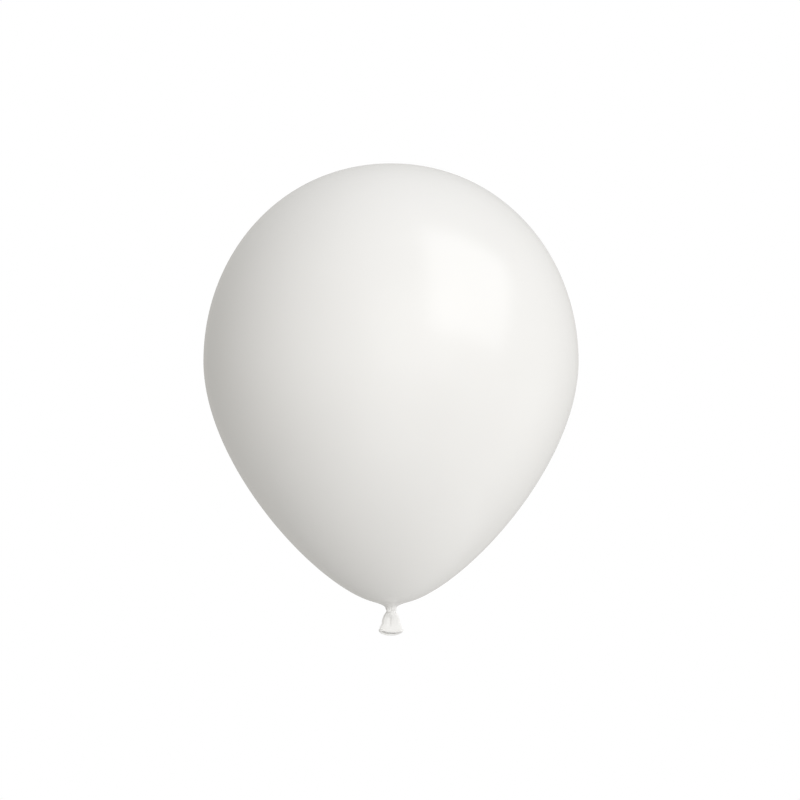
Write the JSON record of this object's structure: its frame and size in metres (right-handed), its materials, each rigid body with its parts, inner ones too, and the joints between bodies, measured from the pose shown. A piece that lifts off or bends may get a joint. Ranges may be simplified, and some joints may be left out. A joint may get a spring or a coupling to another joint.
{
  "type": "latex balloon",
  "caption": "Round white latex party balloon, inflated and tied with an overhand knot, with a gathered neck, a flat flared tail and a rolled lip.",
  "frame": {"origin": "on the balloon's axis in the narrow groove between the bulb and the knot, where a ribbon is tied", "axes": "+Z from the groove up through the crown, along the balloon's axis; the flat sides of the tail face +Y and -Y, and the lower side of its mouth is at +Y"},
  "size_m": [0.3, 0.3, 0.3778],
  "materials": {
    "bulb_latex": "smooth white latex stretched thin, with a soft gloss",
    "neck_latex": "gathered and pleated white latex, satin",
    "tail_latex": "unstretched opaque white latex, satin"
  },
  "bodies": {
    "envelope": {"envelope": "bulb_latex"},
    "neck": {"neck_throat": "neck_latex"},
    "knot": {"overhand_knot": "neck_latex"},
    "tail": {"neck_tail": "tail_latex", "rolled_lip": "tail_latex"}
  },
  "joints": [
    {"name": "neck_twist", "type": "hinge", "parent": "envelope", "child": "neck", "pos_m": [0, 0, 0.003], "axis": [0, 0, 1], "range_deg": [-180, 180], "stiffness_Nm_per_rad": 0.0003},
    {"name": "knot_swing", "type": "hinge", "parent": "neck", "child": "knot", "pos_m": [0, 0, -0.00175], "axis": [0, 1, 0], "range_deg": [-45, 45], "stiffness_Nm_per_rad": 0.0006},
    {"name": "tail_bend", "type": "hinge", "parent": "knot", "child": "tail", "pos_m": [0, 0, -0.005], "axis": [1, 0, 0], "range_deg": [-80, 80], "stiffness_Nm_per_rad": 0.0004}
  ]
}
